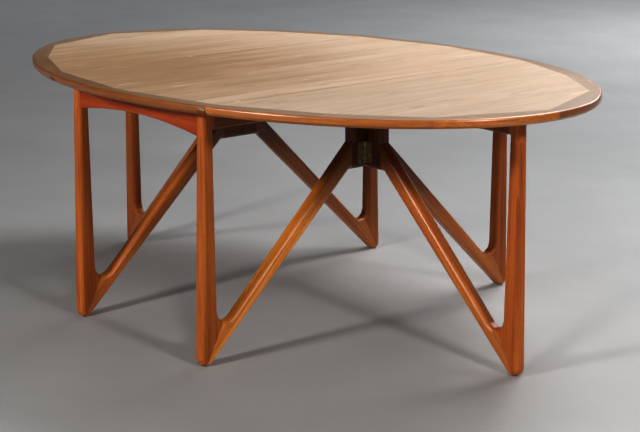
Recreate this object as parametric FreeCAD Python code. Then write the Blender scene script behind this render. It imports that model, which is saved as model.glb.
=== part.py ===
import FreeCAD, Part
import math
import os

# Oval drop-leaf dining table in teak, with a fixed centre and two gate legs.
# Lengths are millimetres. X runs across the leaves, Y along the seams and Z up.
# The origin lies on the floor under the middle of the top.
# Front is +X, back is -X, left is -Y and right is +Y.

Vector = FreeCAD.Vector
ORIGIN = Vector(0, 0, 0)
ALONG_X = Vector(1, 0, 0)
ALONG_Y = Vector(0, 1, 0)
UP = Vector(0, 0, 1)
FULL_TURN = 360
HALF_TURN = 180
QUARTER_TURN = 90

# Top
top_length = 2010
top_width = 1330
table_height = 720
top_thickness = 24
centre_width = 724
seam_gap = 0.5
rim_bevel = 4
rim_bevel_ease = 1.5
rim_under_bevel = 7
rim_arcs = 4
seam_rebate = 4.4
# Corners of the veneered field, as shares of the half length and half width
field_end_share = 0.955
field_seam_share = 0.878
field_corner_shares = [(0.637, 0.690), (0.851, 0.450), (0.968, 0.0)]

# Fixed frame and legs
frame_thickness = 38
frame_under_seam = 69
foot_under_rim = 61
block_width = 130
post_lean = 20
post_top_width = 34
post_low_width = 51
post_low_height = 191
post_joint_drop = 16
rail_depth = 54
block_depth = 229
brace_toe = 9
brace_block_width = 49
brace_foot_width = 31.5
crotch_radius = 31
crotch_straights = 4
foot_radius = 20
foot_straights = 3
foot_flat = 1
edge_round = 13

# End aprons
apron_thickness = 22
apron_setback = 3
apron_end_depth = 74
apron_rise = 25
apron_edge_bevel = 2

# Gate legs
gate_offset = 3
gate_swing = 88.5
gate_block_width = 65
gate_end_gap = 0.8
gate_top_gap = 0.5

# Butt hinge of each gate
hinge_length = 62
hinge_leaf_width = 25
hinge_leaf_thickness = 2
hinge_drop = 153
knuckle_radius = 3.5
knuckle_count = 3
knuckle_sides = 10
knuckle_gap = 0.2
knuckle_clearance = 0.3
hinge_pin_radius = 1.75
pin_running_clearance = 0.05
hinge_screw_margin = 8
hinge_screw_inset = 8

# Hinges of the two leaves, let into the ends of the seams
leaf_hinge_length = 40
leaf_flange_width = 22
leaf_flange_thickness = 6
leaf_flange_drop = 6.5
leaf_web_thickness = 2.8
leaf_plate_drop = 5
leaf_knuckle_radius = 3.5
leaf_knuckle_setback = 5
leaf_pocket_clearance = 0.3
leaf_rim_setback = 0.6
leaf_screw_inset = 12
leaf_plate_screw_drop = 9
leaf_flange_screw_length = 10

# Wood screws
plate_screw_radius = 1.5
plate_screw_head_radius = 3
plate_screw_length = 16
screw_head_depth = 1.6
screw_clearance = 0.05
screw_head_sides = 8
screw_shank_sides = 6
top_screw_radius = 2.4
top_screw_head_radius = 4.5
top_screw_head_depth = 3
top_screw_bite = 14
top_screw_grip = 24
top_screw_place = 330
top_screw_room = 0.6

# Stop blocks that meet the open gates
stop_length = 60
stop_width = 22
stop_height = 16
stop_from_post = 60
stop_gap = 0.3
stop_screw_spacing = 34
stop_screw_length = 25
stop_edge_bevel = 3

# How far cutting shapes run past what they cut, and a length beyond the whole table
overrun = 50
beyond = 3000

# Sizes worked out from the ones above
half_length = top_length / 2
half_width = top_width / 2
seam = centre_width / 2
centre_edge = seam - seam_gap / 2
leaf_edge = seam + seam_gap / 2
frame_top = table_height - top_thickness
half_block = block_width / 2
rail_bottom = frame_top - rail_depth
post_joint = rail_bottom - post_joint_drop
block_bottom = frame_top - block_depth
leg_reach = half_width - foot_under_rim - half_block
frame_middle = seam - frame_under_seam
frame_outer = frame_middle + frame_thickness / 2
frame_inner = frame_middle - frame_thickness / 2
half_frame_length = half_block + leg_reach - post_lean

written = []


def write(name, shape):
    """Write one node as a STEP file."""
    shape.exportStep("parts/" + name + ".step")
    written.append(name)


def turned(shape):
    """The same shape turned half a turn about the table's middle."""
    other = shape.copy()
    other.rotate(ORIGIN, UP, HALF_TURN)
    return other


def mirrored(shape, normal):
    """The shape's mirror image in a plane through the origin."""
    return shape.mirror(ORIGIN, normal)


def both_sides(shapes):
    """The shapes of the front with the same ones turned to the back."""
    return Part.makeCompound(list(shapes) + [turned(shape) for shape in shapes])


def across(name):
    """The name that a piece of the front frame has once it is turned to the back."""
    ends = {"right": "left", "left": "right"}
    side, _, kind = name.partition("_")
    return ends[side] + "_" + kind if side in ends else name


def box(x, y, z):
    """A box between the two ends given for each axis."""
    corner = Vector(min(x), min(y), min(z))
    return Part.makeBox(abs(x[1] - x[0]), abs(y[1] - y[0]), abs(z[1] - z[0]), corner)


def rod(radius, start, direction, length):
    return Part.makeCylinder(radius, length, start, direction)


def face_through(points):
    return Part.Face(Part.makePolygon(points + points[:1]))


def polygon(sides, radius, height):
    """The corners of a level regular polygon about the Z axis."""
    turns = [math.radians(FULL_TURN * n / sides) for n in range(sides)]
    return [Vector(radius * math.cos(turn), radius * math.sin(turn), height) for turn in turns]


def tapered(sides, low_radius, high_radius, low, high):
    """A many-sided upright prism about the Z axis, whose radius may change with height."""
    bottom = polygon(sides, low_radius, low)
    top = polygon(sides, high_radius, high)
    faces = [face_through(bottom), face_through(top)]
    for n in range(sides):
        faces.append(face_through([bottom[n - 1], bottom[n], top[n], top[n - 1]]))
    solid = Part.Solid(Part.Shell(faces))
    return solid if solid.Volume > 0 else solid.reversed()


def unit(vector):
    return Vector(vector).normalize()


def meet(point, along, other, other_along):
    """Where two lines in the X-Z plane cross."""
    turn = along.x * other_along.z - along.z * other_along.x
    apart = other - point
    return point + along * ((apart.x * other_along.z - apart.z * other_along.x) / turn)


def rounded(before, corner, after, radius, straights):
    """The points of an arc of short straights that rounds a corner of an outline in the X-Z plane."""
    back = unit(before - corner)
    on = unit(after - corner)
    half = back.getAngle(on) / 2
    centre = corner + unit(back + on) * (radius / math.sin(half))
    start = corner + back * (radius / math.tan(half)) - centre
    end = corner + on * (radius / math.tan(half)) - centre
    sweep = start.getAngle(end)
    points = []
    for n in range(straights + 1):
        turn = sweep * n / straights
        points.append(centre + (start * math.sin(sweep - turn) + end * math.sin(turn)) / math.sin(sweep))
    return points


def slab(outer, windows, thickness):
    """An upright plate in the X-Z plane, centred on Y, with windows through it."""
    face = face_through(outer)
    for window in windows:
        face = face.cut(face_through(window))
    face.translate(ALONG_Y * (-thickness / 2))
    return face.extrude(ALONG_Y * thickness).Solids[0]


def zone(points):
    """An upright prism that holds one piece of a frame, used to cut the frame apart."""
    face = face_through(points)
    face.translate(ALONG_Y * -frame_thickness)
    return face.extrude(ALONG_Y * (2 * frame_thickness))


class Leg:
    """The V of one leg: X is measured outwards from the side of its block."""

    def __init__(self, top):
        self.outer_foot = Vector(leg_reach, 0, 0)
        self.outer_up = unit(Vector(-post_lean, 0, frame_top))
        self.outer_top = self.outer_at(top)
        inner_top = self.outer_at(post_joint) - ALONG_X * post_top_width
        inner_low = self.outer_at(post_low_height) - ALONG_X * post_low_width
        inner_up = unit(inner_top - inner_low)
        self.rail_corner = Vector(0, 0, rail_bottom)
        self.inner_corner = meet(inner_low, inner_up, self.rail_corner, ALONG_X)
        self.toe = Vector(brace_toe, 0, block_bottom)
        foot = self.outer_at(foot_radius - foot_flat) - ALONG_X * (foot_radius / self.outer_up.z)
        apart = foot - self.toe
        drop = math.atan2(-apart.z, apart.x) + math.asin(foot_radius / apart.Length)
        down = Vector(math.cos(drop), 0, -math.sin(drop))
        over = Vector(math.sin(drop), 0, math.cos(drop))
        self.tip = meet(self.outer_foot, self.outer_up, self.toe, down)
        # The brace narrows from the block to the foot, so its upper side has a slope of its own
        start = self.toe + over * brace_block_width
        end = self.toe + down * apart.dot(down) + over * brace_foot_width
        self.shoulder = meet(start, unit(end - start), ORIGIN, UP)
        self.crotch = meet(inner_low, inner_up, start, unit(end - start))
        opening = unit(unit(self.inner_corner - self.crotch) + unit(self.shoulder - self.crotch))
        self.crotch_centre = self.crotch + opening * (crotch_radius / math.sin(opening.getAngle(inner_up)))

    def outer_at(self, height):
        return self.outer_foot + self.outer_up * (height / self.outer_up.z)

    def outline(self):
        """The outer outline, from the block's bottom round the foot to the top."""
        foot = rounded(self.toe, self.tip, self.outer_top, foot_radius, foot_straights)
        return [self.toe] + foot + [self.outer_top]

    def window(self):
        crotch = rounded(self.inner_corner, self.crotch, self.shoulder, crotch_radius, crotch_straights)
        return [self.inner_corner] + crotch + [self.shoulder, self.rail_corner]

    def zones(self):
        """The cutting prisms of the post and of the brace, which meet on the mitre."""
        low = self.tip + (self.tip - self.crotch_centre)
        far = leg_reach + overrun
        inside = Vector(self.crotch_centre.x, 0, post_joint)
        post = [low, self.crotch_centre, inside, Vector(far, 0, post_joint), Vector(far, 0, low.z)]
        brace = [Vector(0, 0, low.z), Vector(0, 0, post_joint), inside, self.crotch_centre, low]
        return zone(post), zone(brace)


def beside(points, side):
    """Outline points moved out beside the middle block, or to its other side."""
    return [Vector(side * (point.x + half_block), 0, point.z) for point in points]


def softened(shape, top):
    """The frame with its long edges rounded, all but the top ones, and its feet cut at the floor."""
    flat = [edge for edge in shape.Edges if edge.BoundBox.YLength < edge_round]
    shape = shape.makeFillet(edge_round, [edge for edge in flat if edge.BoundBox.ZMin < top - edge_round])
    return shape.cut(box((-beyond, beyond), (-beyond, beyond), (-overrun, 0)))


def fixed_frame():
    """One side of the base, standing in the X-Z plane about its middle, as named pieces."""
    leg = Leg(frame_top)
    outer = beside(leg.outline(), 1) + beside(leg.outline(), -1)[::-1]
    windows = [beside(leg.window(), side) for side in (1, -1)]
    whole = softened(slab(outer, windows, frame_thickness), frame_top)
    pieces = {}
    for kind, prism in zip(("post", "brace"), leg.zones()):
        prism.translate(ALONG_X * half_block)
        pieces["right_" + kind] = whole.common(prism)
        pieces["left_" + kind] = whole.common(mirrored(prism, ALONG_X))
    deep = (-frame_thickness, frame_thickness)
    pieces["block"] = whole.common(box((-half_block, half_block), deep, (0, post_joint)))
    pieces["rail"] = whole.common(box((-beyond, beyond), deep, (post_joint, frame_top)))
    return pieces


def gate_frame():
    """One gate in the X-Z plane, with X measured from the outer side of its block."""
    top = frame_top - gate_top_gap
    leg = Leg(top)
    block_end = [Vector(-gate_block_width, 0, top), Vector(-gate_block_width, 0, block_bottom)]
    whole = softened(slab(block_end + leg.outline(), [leg.window()], frame_thickness), top)
    post, brace = leg.zones()
    deep = (-frame_thickness, frame_thickness)
    return {
        "post": whole.common(post),
        "brace": whole.common(brace),
        "block": whole.common(box((-gate_block_width, 0), deep, (0, post_joint))),
        "rail": whole.common(box((-beyond, beyond), deep, (post_joint, top))),
    }


def seated(shape, point, direction):
    """A shape made along +Z, turned to a direction and moved to a point."""
    placed = shape.copy()
    placed.Placement = FreeCAD.Placement(point, FreeCAD.Rotation(UP, direction))
    return placed


def plate_screw(point, direction, length, clearance=0):
    """A countersunk screw with its head flush at a point, or with a clearance the hole for it."""
    shank = plate_screw_radius + clearance
    head = tapered(screw_head_sides, plate_screw_head_radius + clearance, shank, 0, screw_head_depth)
    core = tapered(screw_shank_sides, shank, shank, screw_head_depth / 2, length + clearance)
    return seated(head.fuse(core).removeSplitter(), point, direction)


# The gate hinge stands in the inner corner between the frame and the gate
gate_face = gate_offset - frame_thickness / 2
hinge_x = frame_outer + knuckle_radius + knuckle_clearance
hinge_y = gate_face - knuckle_radius - knuckle_clearance
hinge_top = frame_top - hinge_drop
hinge_bottom = hinge_top - hinge_length
hinge_axis = Vector(hinge_x, hinge_y, 0)
knuckle_length = (hinge_length - (knuckle_count - 1) * knuckle_gap) / knuckle_count


def swung(shape):
    """A shape of the gate turned from square to the frame to where the open gate stands."""
    other = shape.copy()
    other.rotate(hinge_axis, UP, gate_swing - QUARTER_TURN)
    return other


def gate_hinge_plate(on_gate):
    """One leaf of the gate hinge with its own knuckles, its screws and their holes."""
    room = knuckle_radius + knuckle_clearance
    if on_gate:
        front = gate_face - hinge_leaf_thickness
        far = hinge_x + hinge_leaf_width
        plate = box((hinge_x, far), (front, gate_face), (hinge_bottom, hinge_top))
        head = Vector(far - hinge_screw_inset, front, 0)
        into = ALONG_Y
    else:
        front = frame_outer + hinge_leaf_thickness
        far = hinge_y - hinge_leaf_width
        plate = box((frame_outer, front), (far, hinge_y), (hinge_bottom, hinge_top))
        head = Vector(front, far + hinge_screw_inset, 0)
        into = ALONG_X * -1
    own = 1 if on_gate else 0
    for n in range(knuckle_count):
        low = hinge_bottom + n * (knuckle_length + knuckle_gap)
        high = low + knuckle_length
        if n % 2 == own:
            knuckle = tapered(knuckle_sides, knuckle_radius, knuckle_radius, low, high)
            knuckle.translate(hinge_axis)
            plate = plate.fuse(knuckle)
        else:
            level = (low - knuckle_gap, high + knuckle_gap)
            plate = plate.cut(box((hinge_x - room, hinge_x + room), (hinge_y - room, hinge_y + room), level))
    bore = hinge_pin_radius + (pin_running_clearance if on_gate else 0)
    plate = plate.cut(rod(bore, hinge_axis, UP, table_height))
    low = hinge_bottom + hinge_screw_margin
    high = hinge_top - hinge_screw_margin
    heads = [head + UP * height for height in (low, (low + high) / 2, high)]
    screws = [plate_screw(point, into, plate_screw_length) for point in heads]
    holes = [plate_screw(point, into, plate_screw_length, screw_clearance) for point in heads]
    return plate.cut(Part.makeCompound(holes)).removeSplitter(), screws, holes


def oval(inset, height):
    """A level oval of tangent arcs, smaller than the top all round by an inset."""
    turns = []
    ends = []
    for n in range(rim_arcs + 1):
        share = math.radians(QUARTER_TURN * n / rim_arcs)
        turns.append(math.atan2(half_length * math.sin(share), half_width * math.cos(share)))
        ends.append(Vector(half_length * math.cos(share), half_width * math.sin(share), 0))
    radii = []
    for n in range(rim_arcs):
        chord = (ends[n + 1] - ends[n]).Length
        radii.append(chord / 2 / math.sin((turns[n + 1] - turns[n]) / 2))
    across_each = [math.cos(turns[n]) - math.cos(turns[n + 1]) for n in range(rim_arcs)]
    along_each = [math.sin(turns[n + 1]) - math.sin(turns[n]) for n in range(rim_arcs)]
    # The first and last radius close the oval exactly at its two half axes
    left_x = half_length - sum(radii[n] * across_each[n] for n in range(1, rim_arcs - 1))
    left_y = half_width - sum(radii[n] * along_each[n] for n in range(1, rim_arcs - 1))
    scale = across_each[0] * along_each[-1] - across_each[-1] * along_each[0]
    radii[0] = (left_x * along_each[-1] - left_y * across_each[-1]) / scale
    radii[-1] = (across_each[0] * left_y - along_each[0] * left_x) / scale
    arcs = []
    centre = Vector(half_length - radii[0], 0, height)
    for n in range(rim_arcs):
        if n > 0:
            out = Vector(math.cos(turns[n]), math.sin(turns[n]), 0)
            centre = centre + out * (radii[n - 1] - radii[n])
        points = []
        for turn in (turns[n], (turns[n] + turns[n + 1]) / 2, turns[n + 1]):
            points.append(centre + Vector(math.cos(turn), math.sin(turn), 0) * (radii[n] - inset))
        arcs.append(points)
    edges = []
    for side_x, side_y in ((1, 1), (-1, 1), (-1, -1), (1, -1)):
        for points in arcs:
            edges.append(Part.Arc(*[Vector(side_x * p.x, side_y * p.y, p.z) for p in points]).toShape())
    return Part.Face(Part.Wire(Part.__sortEdges__(edges)))


def top_disc():
    """The whole top as one oval disc, bevelled below and with its upper rim softened by three bevels."""
    disc = oval(0, frame_top).extrude(UP * top_thickness)
    disc = disc.makeChamfer(rim_under_bevel, level_edges(disc, frame_top, frame_top))
    disc = disc.makeChamfer(rim_bevel, level_edges(disc, table_height, table_height))
    return disc.makeChamfer(rim_bevel_ease, level_edges(disc, table_height - rim_bevel, table_height))


def level_edges(shape, low, high):
    """The level edges of a shape between two heights."""
    level = [edge for edge in shape.Edges if edge.BoundBox.ZLength < rim_bevel / 2]
    near = rim_bevel / 2
    return [e for e in level if e.BoundBox.ZMin > low - near and e.BoundBox.ZMax < high + near]


def upright_prism(points):
    """A prism over a plan outline, taller than the top both ways."""
    face = face_through(points)
    face.translate(UP * (frame_top - overrun))
    return face.extrude(UP * (top_thickness + 2 * overrun))


def outwards(before, corner, after):
    """The direction of a mitre at a corner, pointing out of the field."""
    return unit(unit(corner - before) + unit(corner - after))


def leaf_field():
    """The plan corners of the front leaf's field, from the left seam to the right."""
    points = [Vector(seam, -field_seam_share * half_width, 0)]
    for along, out in field_corner_shares:
        points.append(Vector(along * half_length, -out * half_width, 0))
    return points + [Vector(p.x, -p.y, 0) for p in points[-2::-1]]


def front_leaf(disc):
    """The front leaf: its veneered field and the boards round it."""
    field = leaf_field()
    half = disc.common(box((leaf_edge, beyond), (-beyond, beyond), (0, beyond)))
    panel = half.common(upright_prism(field))
    rays = [ALONG_Y * -1]
    for n in range(1, len(field) - 1):
        rays.append(outwards(field[n - 1], field[n], field[n + 1]))
    rays.append(ALONG_Y)
    boards = []
    for n in range(len(field) - 1):
        near = field[n]
        far = field[n + 1]
        outline = [near, near + rays[n] * half_width, far + rays[n + 1] * half_width, far]
        boards.append(half.common(upright_prism(outline)))
    return panel, boards


def centre_top(disc):
    """The fixed centre: its field, the board at one of its corners and the rebates along the seams."""
    middle = disc.common(box((-centre_edge, centre_edge), (-beyond, beyond), (0, beyond)))
    end = Vector(0, field_end_share * half_width, 0)
    corner = Vector(seam, field_seam_share * half_width, 0)
    left_corner = Vector(corner.x, -corner.y, 0)
    loop = [end, corner, left_corner, end * -1, corner * -1, left_corner * -1]
    panel = middle.common(upright_prism(loop))
    out = ALONG_Y * half_width
    board = middle.common(upright_prism([end, end + out, corner + out, corner]))
    rebate = box((centre_edge - seam_rebate, seam), (-beyond, beyond), (0, frame_top + seam_rebate))
    return panel, board, rebate


# The hinges of the leaves lie just below the top's underside, in the seams
leaf_axis_z = frame_top + leaf_knuckle_radius + leaf_pocket_clearance
flange_top = table_height - leaf_flange_drop
flange_bottom = flange_top - leaf_flange_thickness
rim_share_at_leaf_hinge = math.sqrt(1 - ((seam + leaf_flange_width) / half_length) ** 2)
leaf_hinge_middle = half_width * rim_share_at_leaf_hinge - leaf_hinge_length / 2


def leaf_hinge():
    """The hinge at the right end of the front seam: plates, screws and what they need cut away."""
    start = leaf_hinge_middle - leaf_hinge_length / 2
    end = leaf_hinge_middle + leaf_hinge_length / 2
    span = (start, end)
    gap = leaf_pocket_clearance
    axis = Vector(seam, 0, leaf_axis_z)
    half = leaf_hinge_length / 2 - leaf_knuckle_setback - gap / 2
    flange = box((centre_edge - leaf_flange_width, centre_edge), span, (flange_bottom, flange_top))
    web = box((centre_edge - leaf_web_thickness, centre_edge), span, (leaf_axis_z, flange_bottom))
    barrel = tapered(knuckle_sides, leaf_knuckle_radius, leaf_knuckle_radius, 0, half)
    centre_barrel = seated(barrel, axis + ALONG_Y * (leaf_hinge_middle + gap / 2), ALONG_Y)
    leaf_barrel = seated(barrel, axis + ALONG_Y * (start + leaf_knuckle_setback), ALONG_Y)
    room = leaf_knuckle_radius + gap
    near = (start - overrun, leaf_hinge_middle + gap / 2)
    level = (leaf_axis_z - room, leaf_axis_z + room)
    centre_plate = flange.fuse(web).cut(box((seam - room, seam + room), near, level)).fuse(centre_barrel)
    plate_top = table_height - leaf_plate_drop
    plate = box((leaf_edge, leaf_edge + leaf_web_thickness), span, (leaf_axis_z, plate_top))
    far = (leaf_hinge_middle - gap / 2, end + overrun)
    leaf_plate = plate.cut(box((seam - room, seam + room), far, level)).fuse(leaf_barrel)
    under = Vector(centre_edge - leaf_screw_inset, leaf_hinge_middle, flange_bottom)
    inside = Vector(leaf_edge, leaf_hinge_middle, plate_top - leaf_plate_screw_drop)
    places = [(under, UP, leaf_flange_screw_length), (inside, ALONG_X, plate_screw_length)]
    screws = [plate_screw(*place) for place in places]
    holes = [plate_screw(*place, screw_clearance) for place in places]
    trim = oval(leaf_rim_setback, 0).extrude(UP * table_height)
    plates = [shape.cut(Part.makeCompound(holes)).common(trim) for shape in (centre_plate, leaf_plate)]
    open_end = (start - gap, end + overrun)
    pocket = box((centre_edge - leaf_flange_width - gap, leaf_edge), open_end, (0, flange_top))
    slot = box((centre_edge, leaf_edge + leaf_web_thickness), (start, end + overrun), (0, plate_top))
    recess = box((centre_edge, seam + room), (start, end + overrun), (0, leaf_axis_z + room))
    return {
        "centre_plate": plates[0],
        "leaf_plate": plates[1],
        "screws": screws,
        "centre_cuts": [pocket] + holes,
        "leaf_cuts": [slot, recess] + holes,
    }


def apron():
    """The arched board between the two frames at the right-hand end, before it is fitted to the posts."""
    outer = half_frame_length - apron_setback
    spring = frame_top - apron_end_depth
    half_span = frame_inner + edge_round
    start = Vector(-half_span, outer, spring)
    end = Vector(half_span, outer, spring)
    arch = Part.Arc(start, Vector(0, outer, spring + apron_rise), end).toShape()
    top_end = Vector(half_span, outer, frame_top)
    top_start = Vector(-half_span, outer, frame_top)
    sides = Part.makePolygon([end, top_end, top_start, start])
    board = Part.Face(Part.Wire([arch] + sides.Edges)).extrude(ALONG_Y * -apron_thickness)
    arched = [edge for edge in board.Edges if edge.Curve.TypeId == "Part::GeomCircle"]
    return board.makeChamfer(apron_edge_bevel, arched)


def top_screw(place):
    """A screw up through the front rail into the top, with its hole and pocket."""
    head = frame_top - top_screw_grip
    tip = frame_top + top_screw_bite
    narrow = top_screw_radius
    wide = top_screw_head_radius
    shank = tapered(screw_shank_sides, narrow, narrow, head, tip)
    cap = tapered(screw_head_sides, wide, wide, head - top_screw_head_depth, head)
    narrow = narrow + screw_clearance
    wide = wide + top_screw_room
    room = tapered(screw_shank_sides, narrow, narrow, head, tip + screw_clearance)
    pocket = tapered(screw_head_sides, wide, wide, 0, head)
    shapes = [shank.fuse(cap).removeSplitter(), room.fuse(pocket)]
    for shape in shapes:
        shape.translate(Vector(frame_middle, place, 0))
    return shapes


def gate_stop():
    """The block under the front leaf that the open gate meets, with its screws and holes."""
    post_side = frame_outer + gate_end_gap + gate_block_width + leg_reach - post_lean
    far = post_side - stop_from_post
    face = gate_offset + frame_thickness / 2 + stop_gap
    block = box((far - stop_length, far), (face, face + stop_width), (frame_top - stop_height, frame_top))
    low = [edge for edge in block.Edges if edge.BoundBox.ZMax < frame_top - stop_height / 2]
    block = block.makeChamfer(stop_edge_bevel, low)
    screws = []
    holes = []
    for side in (-1, 1):
        place = far - stop_length / 2 + side * stop_screw_spacing / 2
        head = Vector(place, face + stop_width / 2, frame_top - stop_height)
        screws.append(plate_screw(head, UP, stop_screw_length))
        holes.append(plate_screw(head, UP, stop_screw_length, screw_clearance))
    return block.cut(Part.makeCompound(holes)), screws, holes


def write_top(disc, stop_holes, fixing_holes):
    """The top, cut from one oval disc so that its rim runs on from board to board."""
    hinge = leaf_hinge()
    ends = {}
    for name, shapes in hinge.items():
        group = shapes if isinstance(shapes, list) else [shapes]
        ends[name] = group + [mirrored(shape, ALONG_Y) for shape in group]
    panel, board, rebate = centre_top(disc)
    cuts = Part.makeCompound([rebate, turned(rebate), both_sides(ends["centre_cuts"]), fixing_holes])
    write("centre_panel", panel.cut(cuts))
    opposite = mirrored(board, ALONG_X)
    write("centre_right_edge_front", board.cut(cuts))
    write("centre_right_edge_back", opposite.cut(cuts))
    write("centre_left_edge_front", turned(opposite).cut(cuts))
    write("centre_left_edge_back", turned(board).cut(cuts))
    panel, boards = front_leaf(disc)
    cuts = Part.makeCompound(ends["leaf_cuts"] + stop_holes)
    panel = panel.cut(cuts)
    write("front_leaf_panel", panel)
    write("back_leaf_panel", turned(panel))
    for n, board in enumerate(boards):
        board = board.cut(cuts)
        write("front_leaf_edge_" + str(n + 1), board)
        write("back_leaf_edge_" + str(n + 1), turned(board))
    write("leaf_hinge_centre_plates", both_sides(ends["centre_plate"]))
    write("leaf_hinge_leaf_plates", both_sides(ends["leaf_plate"]))
    write("leaf_hinge_screws", both_sides(ends["screws"]))


def main():
    os.makedirs("parts", exist_ok=True)
    stop, stop_screws, stop_holes = gate_stop()
    fixings = [top_screw(place) for place in (-top_screw_place, top_screw_place)]
    fixing_holes = both_sides([hole for _, hole in fixings])
    write_top(top_disc(), [swung(hole) for hole in stop_holes], fixing_holes)

    # The gate hinges, which the frame blocks and gate blocks are drilled for
    frame_plate, frame_screws, frame_holes = gate_hinge_plate(False)
    gate_plate, gate_screws, gate_holes = gate_hinge_plate(True)
    pin = rod(hinge_pin_radius, hinge_axis + UP * hinge_bottom, UP, hinge_length)

    # The fixed base
    end = apron()
    for name, piece in fixed_frame().items():
        piece.rotate(ORIGIN, UP, QUARTER_TURN)
        piece.translate(ALONG_X * frame_middle)
        end = end.cut(Part.makeCompound([piece, mirrored(piece, ALONG_X)]))
        if name == "block":
            piece = piece.cut(Part.makeCompound(frame_holes))
        if name == "rail":
            piece = piece.cut(fixing_holes)
        write("front_" + name, piece)
        write("back_" + across(name), turned(piece))
    write("right_apron", end)
    write("left_apron", turned(end))
    write("top_screws", both_sides([screw for screw, _ in fixings]))
    write("gate_stops", both_sides([swung(stop)]))
    write("gate_stop_screws", both_sides([swung(screw) for screw in stop_screws]))

    # The two gates, with their hinges
    gate_side = Vector(frame_outer + gate_end_gap + gate_block_width, gate_offset, 0)
    for name, piece in gate_frame().items():
        piece.translate(gate_side)
        if name == "block":
            piece = piece.cut(Part.makeCompound(gate_holes))
        piece = swung(piece)
        write("front_gate_" + name, piece)
        write("back_gate_" + name, turned(piece))
    plates = {
        "hinge_frame_plate": frame_plate,
        "hinge_gate_plate": swung(gate_plate),
        "hinge_pin": pin,
        "hinge_gate_screws": swung(Part.makeCompound(gate_screws)),
    }
    for name, shape in plates.items():
        write("front_" + name, shape)
        write("back_" + name, turned(shape))
    write("hinge_frame_screws", both_sides(frame_screws))
    print(len(written), "nodes")


main()
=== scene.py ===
import math

import bmesh
import bpy
from mathutils import Matrix, Vector


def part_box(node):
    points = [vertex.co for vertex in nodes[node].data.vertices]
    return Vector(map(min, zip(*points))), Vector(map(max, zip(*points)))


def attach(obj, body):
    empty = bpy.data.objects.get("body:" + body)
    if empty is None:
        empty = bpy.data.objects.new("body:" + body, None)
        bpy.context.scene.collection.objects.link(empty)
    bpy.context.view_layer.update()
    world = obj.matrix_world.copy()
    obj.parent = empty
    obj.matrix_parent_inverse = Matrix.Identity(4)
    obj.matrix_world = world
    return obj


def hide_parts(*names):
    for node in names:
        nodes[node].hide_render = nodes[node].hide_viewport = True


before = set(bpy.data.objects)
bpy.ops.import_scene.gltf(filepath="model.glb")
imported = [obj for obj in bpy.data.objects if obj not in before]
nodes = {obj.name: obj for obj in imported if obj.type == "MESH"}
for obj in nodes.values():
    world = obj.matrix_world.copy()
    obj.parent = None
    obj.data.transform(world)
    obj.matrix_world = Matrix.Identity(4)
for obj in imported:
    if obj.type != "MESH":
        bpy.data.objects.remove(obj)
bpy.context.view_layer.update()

# Oval drop-leaf dining table in faded and oiled teak, with two gate legs and brass hinges.
# Lengths are metres. X runs along the table and across its leaves, Y along the seams and Z up.

X = Vector((1, 0, 0))
Y = Vector((0, 1, 0))
Z = Vector((0, 0, 1))

# The oval's half length and half width, how far each seam lies from its middle, and the top face
HALF_LENGTH = 1.005
HALF_WIDTH = 0.665
SEAM = 0.362
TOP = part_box("centre_panel")[1].z

# Dark, middle and light wood, each with its place in the figure
OILED_TONES = [
    (0.28, (0.270, 0.055, 0.0065)),
    (0.50, (0.480, 0.127, 0.0175)),
    (0.72, (0.620, 0.205, 0.0380)),
]
FADED_TONES = [
    (0.33, (0.420, 0.300, 0.208)),
    (0.50, (0.550, 0.420, 0.312)),
    (0.68, (0.650, 0.520, 0.405)),
]
RIM_TONES = [
    (0.30, (0.270, 0.075, 0.010)),
    (0.50, (0.420, 0.135, 0.020)),
    (0.70, (0.540, 0.200, 0.040)),
]
# A browner colour for painted shade on the top and for wood that has faded less, then a warmer tone
# and pale slivers
SHADE_AND_LESS_FADED = (0.300, 0.170, 0.072)
WARMER = (0.560, 0.355, 0.230)
PALE_SLIVER = (0.78, 0.64, 0.47)

# The looks of the base and the gates by the ends of their names, where a later row adds to the
# rows before it, and how much of a rail's end is the post that runs through it
BASE_LOOKS = [
    ("_apron", {"tint": 0.72, "red": 0.38}),
    # Painted shade: the blocks and the rails under the top get dark tints that stand for its shade
    ("_block", {"tint": 0.25}),
    ("_rail", {"tint": 0.42}),
    ("_brace", {"tint": 1.25, "red": -0.12, "painted_shade_from": 0.34, "polish": 0.7}),
    ("gate_brace", {"tint": 1.05, "painted_shade_from": 0.41}),
    # Painted highlight: the front left brace's light, yellower tint stands for its broad highlight
    ("front_left_brace", {"tint": 1.7, "red": -0.30, "painted_shade_from": 0.37}),
    ("front_left_post", {"tint": 0.9, "red": -0.06}),
]
POST_IN_RAIL = 0.035


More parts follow.
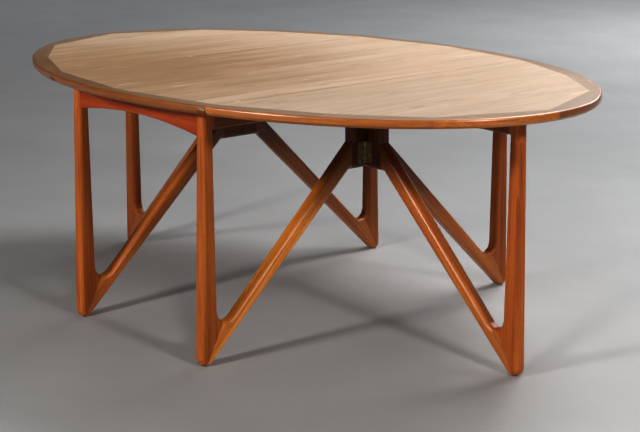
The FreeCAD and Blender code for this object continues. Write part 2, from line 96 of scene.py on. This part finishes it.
class Value:
    """One output in a node tree, with Python's operators as the maths between outputs."""

    def __init__(self, tree, socket=None):
        self.tree = tree
        self.socket = socket

    def node(self, kind, settings=None, inputs=None, output=0):
        """A new node: its settings first, then the values or links of its inputs."""
        made = self.tree.nodes.new(kind)
        for name, setting in (settings or {}).items():
            if name == "stops":
                elements = made.color_ramp.elements
                while len(elements) < len(setting):
                    elements.new(1)
                for element, (place, colour) in zip(elements, setting):
                    element.position = place
                    element.color = (*colour, 1)
            else:
                setattr(made, name, setting)
        for key, value in (inputs or {}).items():
            if isinstance(value, Value):
                self.tree.links.new(value.socket, made.inputs[key])
            else:
                made.inputs[key].default_value = value
        return Value(self.tree, made.outputs[output])

    def maths(self, operation, first, second=0):
        return self.node("ShaderNodeMath", {"operation": operation}, {0: first, 1: second})

    def __add__(self, other):
        return self.maths("ADD", self, other)

    def __radd__(self, other):
        return self.maths("ADD", other, self)

    def __sub__(self, other):
        return self.maths("SUBTRACT", self, other)

    def __rsub__(self, other):
        return self.maths("SUBTRACT", other, self)

    def __mul__(self, other):
        return self.maths("MULTIPLY", self, other)

    def __rmul__(self, other):
        return self.maths("MULTIPLY", other, self)

    def __abs__(self):
        return self.maths("ABSOLUTE", self)

    def part(self, axis):
        """The part of a place along one axis."""
        return self.node("ShaderNodeSeparateXYZ", {}, {0: self}, output=axis)

    def stretched(self, factors):
        """A place with its three parts multiplied."""
        settings = {"operation": "MULTIPLY"}
        return self.node("ShaderNodeVectorMath", settings, {0: self, 1: factors})

    def noise(self, sizes, detail=2, roughness=0.5, distortion=0):
        """Soft noise whose blobs have the given sizes along the three axes."""
        inputs = {
            "Vector": self.stretched(tuple(1 / size for size in sizes)),
            "Scale": 1,
            "Detail": detail,
            "Roughness": roughness,
            "Distortion": distortion,
        }
        return self.node("ShaderNodeTexNoise", {}, inputs)

    def between(self, low, high):
        """From 0 at the low value to 1 at the high one, with soft ends."""
        inputs = {"Value": self, "From Min": low, "From Max": high}
        return self.node("ShaderNodeMapRange", {"interpolation_type": "SMOOTHSTEP"}, inputs)

    def ramp(self, *stops):
        """The colour at this value, between stops that each have a place and a colour."""
        return self.node("ShaderNodeValToRGB", {"stops": stops}, {0: self})

    def mix(self, low, high):
        """The low colour where this is 0 and the high one where it is 1."""
        low, high = [c if isinstance(c, Value) else (*c, 1) for c in (low, high)]
        settings = {"data_type": "RGBA"}
        return self.node("ShaderNodeMix", settings, {0: self, 6: low, 7: high}, output=2)


def new_finish(name):
    """An empty material with its shader, and the place on the object as a first value."""
    material = bpy.data.materials.new(name)
    material.use_nodes = True
    tree = material.node_tree
    shader = tree.nodes["Principled BSDF"]
    place = Value(tree).node("ShaderNodeTexCoord", output="Object")
    return material, shader, place


def feed(shader, **inputs):
    """Sets or links the shader's inputs, named with underscores for spaces."""
    for name, value in inputs.items():
        socket = shader.inputs[name.replace("_", " ")]
        if isinstance(value, Value):
            value.tree.links.new(value.socket, socket)
        else:
            socket.default_value = value


def bumped(height, distance, strength=1):
    """A normal for the shader, from a height that is worth the distance at 1."""
    inputs = {"Height": height, "Distance": distance, "Strength": strength}
    return height.node("ShaderNodeBump", {}, inputs)


def tinted(colour, tint, red=0.0):
    """A colour made lighter or darker, and redder by as much less green and blue."""
    return (colour[0] * tint, colour[1] * tint * (1 - red), colour[2] * tint * (1 - red))


def tinted_stops(stops, tint, red=0.0):
    return [(place, tinted(colour, tint, red)) for place, colour in stops]


def grain_space(place, along, seed):
    """The place turned so that X runs along the grain, in a part of the wood of its own."""
    along = along.normalized()
    side = along.cross(Z if abs(along.z) < 0.9 else Y).normalized()
    turn = Matrix((along, side, along.cross(side))).to_euler()
    shift = (seed * 1.37, 0.061 + seed * 0.0137, 0.037 + seed * 0.0071)
    inputs = {"Vector": place, "Rotation": tuple(turn), "Location": shift}
    return place.node("ShaderNodeMapping", {}, inputs)


def oiled_teak(name, along, seed, tint=1.0, red=0.0, post_from=None, painted_shade_from=None, polish=0.12):
    """Oiled teak with its grain along a direction: growth rings, brown streaks, fibres and pores.

    Further from the table's middle than post_from, a rail shows the upright post that runs
    through its end. Above a given height a brace gets painted shade, darker where the table top
    shades it. The polish is the weight of the coat."""
    material, shader, place = new_finish(name)
    wood = grain_space(place, along, seed)
    if post_from:
        far = abs(place.part("Y" if abs(along.y) > 0.5 else "X"))
        upright = far.between(post_from, post_from + 0.0012)
        inputs = {0: upright, 4: wood, 5: grain_space(place, Z, seed)}
        wood = upright.node("ShaderNodeMix", {"data_type": "VECTOR"}, inputs, output=1)
    streaks = wood.noise((0.5, 0.016, 0.016), 3, 0.55, 0.3)
    fibres = wood.noise((0.09, 0.0028, 0.0028), 3, 0.6)
    settings = {"wave_type": "RINGS", "rings_direction": "X", "wave_profile": "SAW"}
    inputs = {
        "Vector": wood.stretched((0.12, 1, 1)),
        "Scale": 34,
        "Distortion": 5,
        "Detail": 2,
        "Detail Scale": 0.6,
    }
    rings = wood.node("ShaderNodeTexWave", settings, inputs, output=1)
    figure = streaks * 0.66 + fibres * 0.22 + rings * 0.12
    colour = figure.ramp(*tinted_stops(OILED_TONES, tint, red))
    if post_from:
        colour = upright.mix(colour, figure.ramp(*OILED_TONES))
    if painted_shade_from:
        # Painted shade: above the given height the brace turns darker, standing for the table top's
        # shadow
        height = place.part("Z") + (streaks - 0.5) * 0.10
        painted_shade = height.between(painted_shade_from, painted_shade_from + 0.13)
        colour = (painted_shade * 0.80).mix(colour, (0.085, 0.020, 0.004))
    pores = wood.noise((0.014, 0.0007, 0.0007), 1).between(0.6, 0.72)
    wear = place.noise((0.11, 0.11, 0.11), 4, 0.6)
    feed(
        shader,
        Base_Color=(pores * 0.45).mix(colour, (0.06, 0.015, 0.005)),
        Roughness=0.36 + wear * 0.16 + fibres * 0.08,
        Specular_IOR_Level=0.38,
        Coat_Weight=polish,
        Coat_Roughness=0.3,
        Normal=bumped(fibres * 0.5 + pores * -1, 0.00012, 0.6),
    )
    return material


def faded_teak(name, along, seed, tint=1.0, brown=0.0, rim_light_and_tint=0.6):
    """The sun-bleached top: pale with grey-brown streaks, and oiled orange teak on the rim below.

    Brown adds to the share of wood that has faded less. The rim's tint, which also carries painted
    light and shade, is for the oiled teak."""
    material, shader, place = new_finish(name)
    wood = grain_space(place, along, seed)
    broad = wood.noise((0.75, 0.055, 0.055), 3, 0.5, 0.4)
    streaks = wood.noise((0.22, 0.0056, 0.0056), 4, 0.68, 0.15)
    fibres = wood.noise((0.05, 0.0019, 0.0019), 2, 0.6)
    figure = broad * 0.26 + streaks * 0.50 + fibres * 0.24
    colour = figure.ramp(*tinted_stops(FADED_TONES, tint))

    # Painted shade: the top turns darker and browner towards one corner of the near side. Brown
    # adds an even share of the same less faded colour, and some patches are warmer
    settings = {"operation": "DISTANCE"}
    inputs = {0: place, 1: (-0.30, -0.42, TOP)}
    away = place.node("ShaderNodeVectorMath", settings, inputs, output="Value")
    painted_shade_and_brown = (1 - (away + (broad - 0.5) * 0.6).between(0.15, 0.95)) * 0.8 + brown
    colour = painted_shade_and_brown.mix(colour, tinted(SHADE_AND_LESS_FADED, tint))
    patches = wood.noise((0.35, 0.11, 0.11), 2, 0.5).between(0.50, 0.75)
    colour = (patches * 0.30).mix(colour, tinted(WARMER, tint))

    # Short pale flecks and dark dashes in the grain
    sparse = wood.noise((0.14, 0.06, 0.06), 1)
    flecks = wood.noise((0.17, 0.0065, 0.0065), 1).between(0.665, 0.71)
    colour = (flecks * sparse.between(0.55, 0.61) * 0.8).mix(colour, PALE_SLIVER)
    dashes = wood.noise((0.16, 0.0046, 0.0046), 1).between(0.64, 0.70)
    dashes = dashes * (1 - sparse.between(0.38, 0.48))
    colour = (dashes * 0.75).mix(colour, (0.15, 0.085, 0.045))

    # The seams' worn edges are dark, and pale where slivers have come off
    beside = abs(abs(place.part("X")) - SEAM)
    wander = place.noise((1.0, 0.07, 1.0), 2)
    worn = (1 - beside.between(0.0012, 0.0038)) * wander.between(0.48, 0.58)
    worn = worn * 0.4 + (1 - beside.between(0.0006, 0.0022)) * 0.35
    colour = worn.mix(colour, (0.14, 0.08, 0.04))
    slivers = (1 - beside.between(0.003, 0.006)) * (1 - wander.between(0.33, 0.38))
    colour = (slivers * 0.6).mix(colour, PALE_SLIVER)

    # Bleached at the top face only, down to a ragged line on the rim of the border boards
    ragged = (place.noise((0.03, 0.03, 0.03), 2) - 0.5) * 0.0010
    full = TOP + 0.0003 if "edge" in name else TOP - 0.0006
    bleached = (place.part("Z") + ragged).between(TOP - 0.0014, full)
    oiled = 1 - bleached
    rim = (streaks * 0.7 + fibres * 0.3).ramp(*tinted_stops(RIM_TONES, rim_light_and_tint))
    feed(
        shader,
        Base_Color=bleached.mix(rim, colour),
        Roughness=0.42 + streaks * 0.12 - oiled * 0.06,
        Specular_IOR_Level=0.4,
        Coat_Weight=0.06 + oiled * 0.8,
        Coat_Roughness=0.3,
        Normal=bumped(fibres * 0.5 + streaks * 0.5 - dashes * 1.5, 0.00012, 0.6),
    )
    return material


def brass(name, clean, tarnish, share):
    """Brass with brushed lines, and tarnish in patches that take more room with a larger share."""
    material, shader, place = new_finish(name)
    patches = place.noise((0.012, 0.012, 0.012), 4, 0.6).between(0.5 - share / 2, 0.9 - share / 2)
    brushed = place.noise((0.0006, 0.0006, 0.03), 2)
    feed(
        shader,
        Base_Color=patches.mix(clean, tarnish),
        Metallic=1 - patches * 0.35,
        Roughness=0.30 + patches * 0.25 + brushed * 0.12,
        Normal=bumped(brushed, 0.00004, 0.4),
    )
    return material


def dull_steel(name):
    material, shader, place = new_finish(name)
    spots = place.noise((0.003, 0.003, 0.003), 3, 0.6)
    feed(
        shader,
        Base_Color=spots.ramp((0.35, (0.20, 0.17, 0.13)), (0.65, (0.45, 0.42, 0.36))),
        Metallic=0.9,
        Roughness=0.35 + spots * 0.2,
    )
    return material


def dress(node, material):
    """Puts one material on every slot of a CAD piece."""
    slots = nodes[node].material_slots
    if not slots:
        nodes[node].data.materials.append(material)
    for slot in slots:
        slot.material = material


def add_object(name, data):
    """A new object in the scene."""
    made = bpy.data.objects.new(name, data)
    bpy.context.scene.collection.objects.link(made)
    return made


def middle_of(node):
    low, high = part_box(node)
    return (low + high) / 2


def border_board_teak(node, seed):
    """The finish of a border board, with its grain along the oval there."""
    centre = middle_of(node)
    along = Vector((-centre.y / HALF_WIDTH ** 2, centre.x / HALF_LENGTH ** 2, 0))
    tint = 0.66 if centre.x > 0.7 else 0.58
    # Painted light and shade on the rim: lighter on the near side at the front leaf's end, darker
    # on the near side towards the back leaf and on the far side at the front leaf's end
    rim_light_and_tint = 0.95
    if centre.y < 0 and centre.x > 0.85:
        rim_light_and_tint = 1.2
    elif centre.y < 0 and centre.x < 0.3 or centre.y > 0 and centre.x > 0.9:
        rim_light_and_tint = 0.62
    return faded_teak(node + "_teak", along, seed, tint, brown=0.2, rim_light_and_tint=rim_light_and_tint)


def grain_of(node):
    """The direction of the grain in a piece of the base or of a gate."""
    low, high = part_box(node)
    size = high - low
    out = middle_of(node)
    if node.endswith(("_post", "_block")):
        return Z
    if node.endswith("gate_brace"):
        return Vector((math.copysign(size.x, out.x), 0, -size.z))
    if node.endswith("_brace"):
        return Vector((0, math.copysign(size.y, out.y), -size.z))
    return X if node.endswith("_apron") or "gate" in node else Y


def rail_end(node):
    """How far from the table's middle the post starts that runs through a rail's end."""
    low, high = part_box(node)
    if "gate" in node:
        return max(abs(low.x), abs(high.x)) - POST_IN_RAIL
    return 0.5 * (high.y - low.y) - POST_IN_RAIL


def base_teak(node, seed):
    """The finish of a piece of the base or of a gate. The ones turned from the lamps get painted
    shade: a darker tint.
    """
    looks = {"tint": 1.0}
    for ending, more in BASE_LOOKS:
        if node.endswith(ending):
            looks.update(more)
    if node.endswith("_rail"):
        looks["post_from"] = rail_end(node)
    # Painted shade: the back right post and the pieces of the back gate and on the right get darker
    # tints, standing for the table top's shade
    if node == "back_right_post":
        looks["tint"] *= 0.62
    elif "back_gate" in node or "_right_" in node:
        looks["tint"] *= 0.75
    return oiled_teak(node + "_teak", grain_of(node), seed, **looks)


def slotted_screw_tree(finish):
    """Countersunk wood screws on the points of a mesh, each with its slot turned by chance.

    Their heads look the way that the points' own attribute, facing, says."""
    tree = bpy.data.node_groups.new("slotted_screws", "GeometryNodeTree")
    tree.interface.new_socket("Geometry", in_out="INPUT", socket_type="NodeSocketGeometry")
    for name in ("Head Radius", "Head Depth", "Shank Radius", "Length", "Slot Width", "Slot Depth"):
        tree.interface.new_socket(name, in_out="INPUT", socket_type="NodeSocketFloat")
    tree.interface.new_socket("Geometry", in_out="OUTPUT", socket_type="NodeSocketGeometry")
    add = Value(tree).node
    sockets = tree.nodes.new("NodeGroupInput").outputs
    given = {socket.name: Value(tree, socket) for socket in sockets}

    def cone(sides, top, bottom, depth):
        inputs = {"Vertices": sides, "Radius Top": top, "Radius Bottom": bottom, "Depth": depth}
        return add("GeometryNodeMeshCone", {}, inputs)

    def lowered(part, depth):
        drop = add("ShaderNodeCombineXYZ", {}, {"Z": depth * -1})
        return add("GeometryNodeTransform", {}, {"Geometry": part, "Translation": drop})

    point_radius = 0.0004
    shank = cone(12, given["Shank Radius"], point_radius, given["Length"])
    head = cone(28, given["Head Radius"], given["Shank Radius"], given["Head Depth"])
    # The cutter is wider than the head and half of it stands above
    cut_size = {
        "X": given["Head Radius"] * 2.4,
        "Y": given["Slot Width"],
        "Z": given["Slot Depth"] * 2,
    }
    cutter = add("GeometryNodeMeshCube", {}, {"Size": add("ShaderNodeCombineXYZ", {}, cut_size)})
    inputs = {0: lowered(head, given["Head Depth"]), 1: cutter}
    slotted = add("GeometryNodeMeshBoolean", {"operation": "DIFFERENCE"}, inputs)
    whole = tree.nodes.new("GeometryNodeJoinGeometry")
    for part in (lowered(shank, given["Length"]), slotted):
        tree.links.new(part.socket, whole.inputs[0])

    settings = {"data_type": "FLOAT_VECTOR"}
    facing = add("GeometryNodeInputNamedAttribute", settings, {"Name": "facing"})
    aligned = add("FunctionNodeAlignRotationToVector", {"axis": "Z"}, {"Vector": facing})
    # The random node's socket 3 is the largest number, and its output 1 the number itself
    inputs = {3: math.pi, "Seed": 7}
    chance = add("FunctionNodeRandomValue", {"data_type": "FLOAT"}, inputs, output=1)
    spin = add("ShaderNodeCombineXYZ", {}, {"Z": chance})
    settings = {"rotation_space": "LOCAL"}
    turned = add("FunctionNodeRotateRotation", settings, {0: aligned, 1: spin})
    inputs = {
        "Points": given["Geometry"],
        "Instance": Value(tree, whole.outputs[0]),
        "Rotation": turned,
    }
    placed = add("GeometryNodeInstanceOnPoints", {}, inputs)
    real = add("GeometryNodeRealizeInstances", {}, {"Geometry": placed})
    dressed = add("GeometryNodeSetMaterial", {}, {"Geometry": real, "Material": finish})
    tree.links.new(dressed.socket, tree.nodes.new("NodeGroupOutput").inputs[0])
    return tree


def slotted_screws(name, body, stands_for, heads, tree, **sizes):
    """The screws of one body as one mesh, from the places and directions of their heads."""
    mesh = bpy.data.meshes.new(name)
    mesh.from_pydata([place for place, facing in heads], [], [])
    facings = mesh.attributes.new("facing", "FLOAT_VECTOR", "POINT")
    for item, (place, facing) in zip(facings.data, heads):
        item.vector = facing
    piece = add_object(name, mesh)
    modifier = piece.modifiers.new("screws", "NODES")
    modifier.node_group = tree
    for socket in tree.interface.items_tree:
        key = socket.name.lower().replace(" ", "_")
        if socket.in_out == "INPUT" and key in sizes:
            modifier[socket.identifier] = sizes[key]
    seen = piece.evaluated_get(bpy.context.evaluated_depsgraph_get())
    made = bpy.data.meshes.new_from_object(seen)
    piece.modifiers.clear()
    piece.data = made
    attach(piece, body)
    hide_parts(stands_for)


# The veneered fields, with the grain along the seams
dress("centre_panel", faded_teak("centre_field_teak", Y, 1, tint=1.01))
dress("front_leaf_panel", faded_teak("front_leaf_field_teak", Y, 2, tint=0.95))
dress("back_leaf_panel", faded_teak("back_leaf_field_teak", Y, 3, tint=1.08))

# The border boards, each with its grain along its own length
seed = 4
for node in sorted(nodes):
    if "_edge_" in node:
        dress(node, border_board_teak(node, seed))
        seed += 1

# The base and the gates, each piece with its grain along it
for node in sorted(nodes):
    if node.endswith(("_post", "_brace", "_block", "_rail", "_apron")) or node == "gate_stops":
        dress(node, base_teak(node, seed))
        seed += 1

aged = brass("aged_brass", (0.66, 0.50, 0.26), (0.30, 0.22, 0.11), 0.6)
bright = brass("bright_brass", (0.66, 0.53, 0.29), (0.28, 0.21, 0.10), 0.45)
steel = dull_steel("screw_steel")

# The slotted screws of the gate hinges, on the faces of the plates on the base and on the gates
slotted = slotted_screw_tree(steel)
plate_screw = dict(
    head_radius=0.003,
    head_depth=0.0016,
    shank_radius=0.0015,
    length=0.0145,
    slot_width=0.0007,
    slot_depth=0.0008,
)
levels = (0.489, 0.512, 0.535)
base_x, base_y = 0.314, 0.0368
gate_x, gate_y = 0.3328, 0.0184
heads = [((side * base_x, -side * base_y, z), (side, 0, 0)) for side in (1, -1) for z in levels]
node = "hinge_frame_screws"
slotted_screws("hinge_frame_slotted_screws", "fixed_table", node, heads, slotted, **plate_screw)
for gate, side in (("front", 1), ("back", -1)):
    heads = [((side * gate_x, -side * gate_y, z), (0, -side, 0)) for z in levels]
    name, body = gate + "_gate_slotted_screws", gate + "_gate"
    node = gate + "_hinge_gate_screws"
    slotted_screws(name, body, node, heads, slotted, **plate_screw)
for node in nodes:
    if node.endswith("_screws"):
        dress(node, steel)
    elif node.startswith("leaf_hinge"):
        dress(node, bright)
    elif "hinge" in node:
        dress(node, aged)


def seam_end_pieces(name, finish, profile):
    """One closed block on the table's centre at each of the four seam ends, close to the rim.

    The profile is a list of heights, each with how far the block stays behind the rim there."""
    mesh = bpy.data.meshes.new(name)
    made = bmesh.new()
    right = 0.3617
    left = right - 0.0218
    back = 0.6147
    least_front = 0.6152
    steps = 8
    for side in (1, -1):
        for end in (1, -1):
            rings = []
            for step in range(steps + 1):
                x = left + (right - left) * step / steps
                rim = HALF_WIDTH * math.sqrt(1 - (x / HALF_LENGTH) ** 2)
                outer = [(max(rim - behind, least_front), z) for z, behind in profile]
                outline = [(back, profile[0][0])] + outer + [(back, profile[-1][0])]
                rings.append([made.verts.new((side * x, end * y, z)) for y, z in outline])
            for one, other in zip(rings, rings[1:]):
                for n in range(len(one)):
                    after = (n + 1) % len(one)
                    made.faces.new((one[n], one[after], other[after], other[n]))
            made.faces.new(rings[0])
            made.faces.new(rings[-1])
    bmesh.ops.recalc_face_normals(made, faces=made.faces)
    made.to_mesh(mesh)
    made.free()
    mesh.materials.append(finish)
    piece = add_object(name, mesh)
    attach(piece, "fixed_table")


tip = [(0.7076, 0.0010), (0.7081, 0.0005), (0.7129, 0.0005), (0.7134, 0.0010)]
seam_end_pieces("leaf_hinge_flange_tips", bright, tip)
# Painted shade: dark teak fills the notch under the flange tips, standing for the shade of the
# recess
packing = [(0.6967, 0.0068), (0.7032, 0.0006), (0.7074, 0.0006)]
packing_painted_shade_teak = oiled_teak("seam_packing_teak", X, 60, tint=0.45)
seam_end_pieces("seam_end_packing", packing_painted_shade_teak, packing)


def floor():
    """A plain round floor in pale grey, as far as the lamps light it."""
    reach = 15
    sides = 96
    turns = [2 * math.pi * n / sides for n in range(sides)]
    corners = [(reach * math.cos(turn), reach * math.sin(turn), 0) for turn in turns]
    mesh = bpy.data.meshes.new("floor")
    mesh.from_pydata(corners, [], [tuple(range(sides))])
    plane = add_object("floor", mesh)
    material, shader, place = new_finish("floor_paint")
    clouds = place.noise((0.5, 0.5, 0.5), 4, 0.6)
    greys = clouds.ramp((0.3, (0.345, 0.344, 0.343)), (0.7, (0.385, 0.384, 0.383)))
    feed(shader, Base_Color=greys, Roughness=0.6)
    mesh.materials.append(material)


def lamp(name, place, target, side, power, colour=(1, 1, 1), spread=180):
    """A square softbox that faces a point, with its light held to a cone."""
    light = bpy.data.lights.new(name, "AREA")
    light.shape = "SQUARE"
    light.size = side
    light.energy = power
    light.color = colour
    light.spread = math.radians(spread)
    made = add_object(name, light)
    made.location = place
    made.rotation_euler = (Vector(target) - Vector(place)).to_track_quat("-Z", "Y").to_euler()


floor()
cool_white = (0.97, 0.98, 1.0)
lamp("left_softbox", (0, -4.0, 2.1), (0, 0, 0.45), 0.5, 125, (1.0, 0.97, 0.93))
lamp("right_softbox", (4.5, -0.57, 2.7), (0, 0, 0.45), 0.6, 106, (1.0, 0.985, 0.97))
lamp("overhead_softbox", (0.3, 2.0, 3.3), (0.1, 0.3, 0.7), 1.3, 118)
lamp("back_softbox", (-2.0, 6.5, 3.2), (-2.5, 5.8, 0), 3.0, 270, cool_white)
# Lamps high over the far floor all round, which leave the table in the light of the four above
far_lamps = [
    (-9, 4.5, 60),
    (-10, -4, 260),
    (-2, -11, 260),
    (9, -8, 210),
    (11, 3, 260),
    (5, 11, 260),
    (-8, 13, 260),
    (6, -6, 110),
]
far_height = 5.5
for n, (x, y, power) in enumerate(far_lamps):
    place, target = (x, y, far_height), (x, y, 0)
    lamp("far_lamp_%d" % n, place, target, 5.0, power, cool_white, spread=110)

world = bpy.data.worlds.new("studio")
bpy.context.scene.world = world
world.use_nodes = True
background = world.node_tree.nodes["Background"]
background.inputs["Color"].default_value = (0.80, 0.82, 0.86, 1)
# The backdrop beyond the floor looks paler than the soft light that it gives the table
soft_light = 0.165
paler = 0.30
to_camera = Value(world.node_tree).node("ShaderNodeLightPath", output="Is Camera Ray")
strength = to_camera * paler + soft_light
world.node_tree.links.new(strength.socket, background.inputs["Strength"])

# The camera as solved from the photo
camera = add_object("camera", bpy.data.cameras.new("camera"))
camera.data.sensor_width = 36
camera.data.lens = 88.49
camera.location = (3.512, -2.997, 1.417)
camera.rotation_euler = (math.pi / 2 - 0.245, 0, 0.85)
bpy.context.scene.camera = camera
bpy.context.scene.view_settings.view_transform = "Standard"
bpy.context.scene.view_settings.gamma = 0.72
